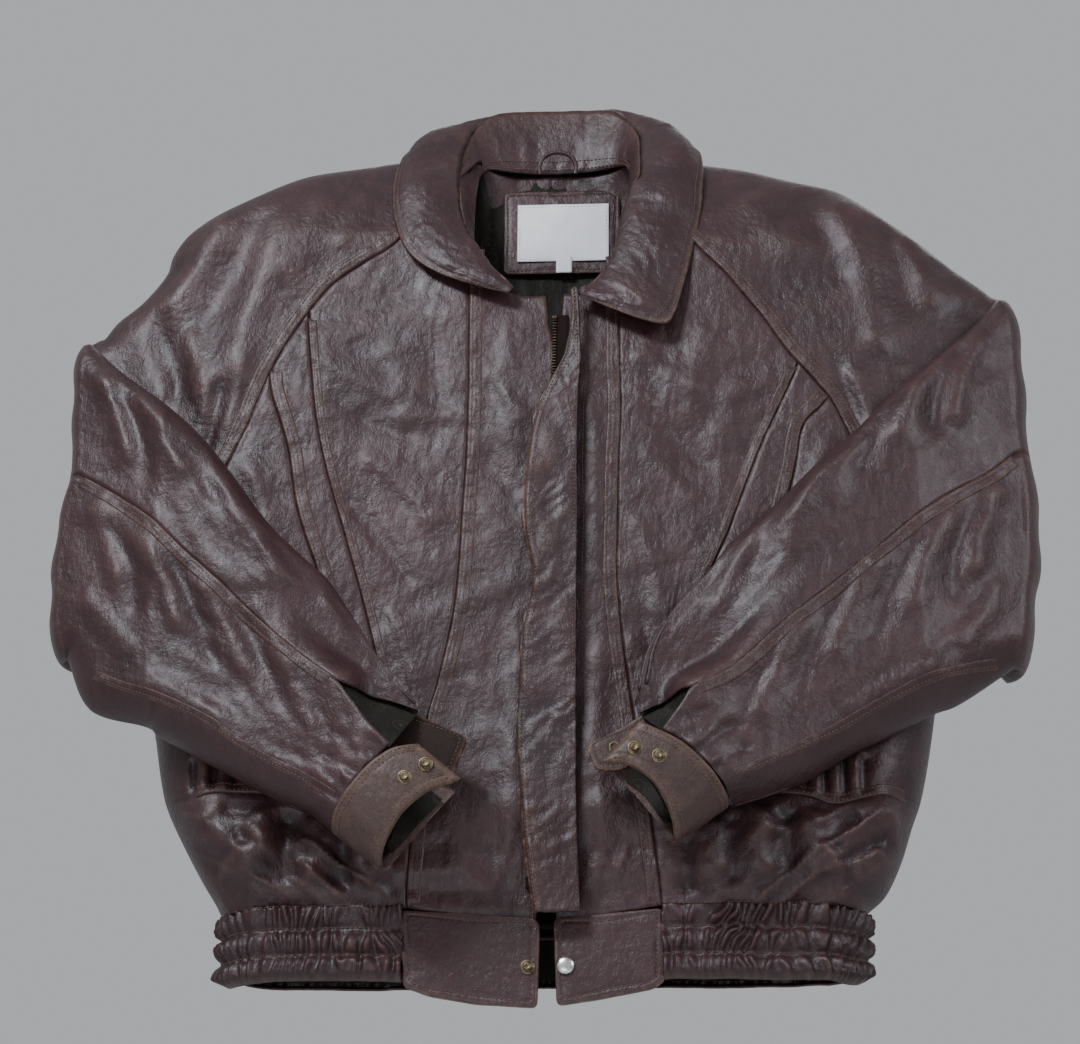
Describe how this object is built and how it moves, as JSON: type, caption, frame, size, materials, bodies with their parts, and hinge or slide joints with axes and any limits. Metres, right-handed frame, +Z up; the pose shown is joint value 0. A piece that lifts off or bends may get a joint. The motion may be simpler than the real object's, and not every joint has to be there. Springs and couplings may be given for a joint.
{
  "type": "leather jacket",
  "caption": "Leather riding blouson with raglan sleeves, turn-down collar, zip under a fly, snap cuffs and gathered elastic waistband, sleeves folded over the chest.",
  "frame": {"origin": "top of the hanging loop at the middle of the back neck", "axes": "+X to the viewer's right facing the front, +Y from chest to back, +Z up"},
  "size_m": [0.725, 0.1902, 0.781],
  "materials": {
    "leather": "semi-gloss pebbled grain, dark reddish brown, worn tan at the edges",
    "leather_inside": "smooth dark brown facing",
    "lining": "dark satin lining with a faint woven pattern",
    "label": "white woven satin",
    "zip_tape": "dark brown woven tape",
    "zip_metal": "antique brass",
    "snap_brass": "antique brass, dark in the recesses",
    "snap_silver": "satin nickel",
    "elastic": "woven rubber elastic",
    "padding": "felt"
  },
  "bodies": {
    "torso": {"front_panel_left": "leather", "front_panel_right": "leather", "chest_panel_left": "leather", "chest_panel_right": "leather", "side_panel_left": "leather", "side_panel_right": "leather", "lower_panel_left": "leather", "lower_panel_right": "leather", "back_yoke": "leather", "back_panel": "leather", "front_facing_left": "leather_inside", "front_facing_right": "leather_inside", "body_lining": "lining", "sleeve_front_left": "leather", "sleeve_front_right": "leather", "sleeve_back_left": "leather", "sleeve_back_right": "leather", "sleeve_lining_left": "lining", "sleeve_lining_right": "lining", "shoulder_pad_left": "padding", "shoulder_pad_right": "padding", "collar_stand": "leather", "collar_leaf_back": "leather", "label_patch": "leather", "woven_label": "label", "size_tag": "label", "hang_loop": "leather", "zip_tape_left": "zip_tape", "zip_tape_right": "zip_tape", "zip_teeth_left": "zip_metal", "zip_teeth_right": "zip_metal", "zip_stops": "zip_metal", "waist_tab_left": "leather", "waist_tab_right": "leather", "waist_casing_left": "leather", "waist_casing_right": "leather", "waist_casing_back": "leather", "waist_elastic": "elastic", "hem_snap_cap": "snap_silver", "hem_snap_socket": "snap_silver", "hem_snap_stud": "snap_brass"},
    "placket": {"placket": "leather"},
    "collar_wing_left": {"collar_wing_left": "leather"},
    "collar_wing_right": {"collar_wing_right": "leather"},
    "zip_slider": {"zip_slider": "zip_metal", "zip_pull": "zip_metal"},
    "forearm_left": {"forearm_upper_left": "leather", "forearm_lower_left": "leather", "forearm_lining_left": "lining", "cuff_band_left": "leather", "cuff_studs_left": "snap_brass"},
    "cuff_tab_left": {"cuff_tab_left": "leather", "cuff_caps_left": "snap_brass"},
    "forearm_right": {"forearm_upper_right": "leather", "forearm_lower_right": "leather", "forearm_lining_right": "lining", "cuff_band_right": "leather", "cuff_studs_right": "snap_brass"},
    "cuff_tab_right": {"cuff_tab_right": "leather", "cuff_caps_right": "snap_brass"}
  },
  "joints": [
    {"name": "sleeve_fold_left", "type": "hinge", "parent": "torso", "child": "forearm_left", "pos_m": [-0.3722, -0.03875, -0.328], "axis": [0, 0, -1], "range_deg": [0, 165]},
    {"name": "sleeve_fold_right", "type": "hinge", "parent": "torso", "child": "forearm_right", "pos_m": [0.3542, -0.03875, -0.326], "axis": [0, 0, 1], "range_deg": [0, 165]},
    {"name": "cuff_tab_hinge_left", "type": "hinge", "parent": "forearm_left", "child": "cuff_tab_left", "pos_m": [-0.086, -0.1036, -0.5765], "axis": [0.9018, 0, -0.4321], "range_deg": [0, 70]},
    {"name": "cuff_tab_hinge_right", "type": "hinge", "parent": "forearm_right", "child": "cuff_tab_right", "pos_m": [0.059, -0.1036, -0.5645], "axis": [0.8354, 0, 0.5496], "range_deg": [0, 70]},
    {"name": "collar_roll_left", "type": "hinge", "parent": "torso", "child": "collar_wing_left", "pos_m": [-0.072, -0.008, 0], "axis": [-0.2172, 0.3475, 0.9122], "range_deg": [0, 50]},
    {"name": "collar_roll_right", "type": "hinge", "parent": "torso", "child": "collar_wing_right", "pos_m": [0.068, -0.008, 0], "axis": [-0.2605, -0.3473, -0.9008], "range_deg": [0, 35]},
    {"name": "placket_fold", "type": "hinge", "parent": "torso", "child": "placket", "pos_m": [0.0245, -0.0764, -0.41], "axis": [0, 0, 1], "range_deg": [0, 95]},
    {"name": "zip_slide", "type": "slide", "parent": "torso", "child": "zip_slider", "axis": [0, 0, 1], "range_m": [0, 0.42]}
  ]
}
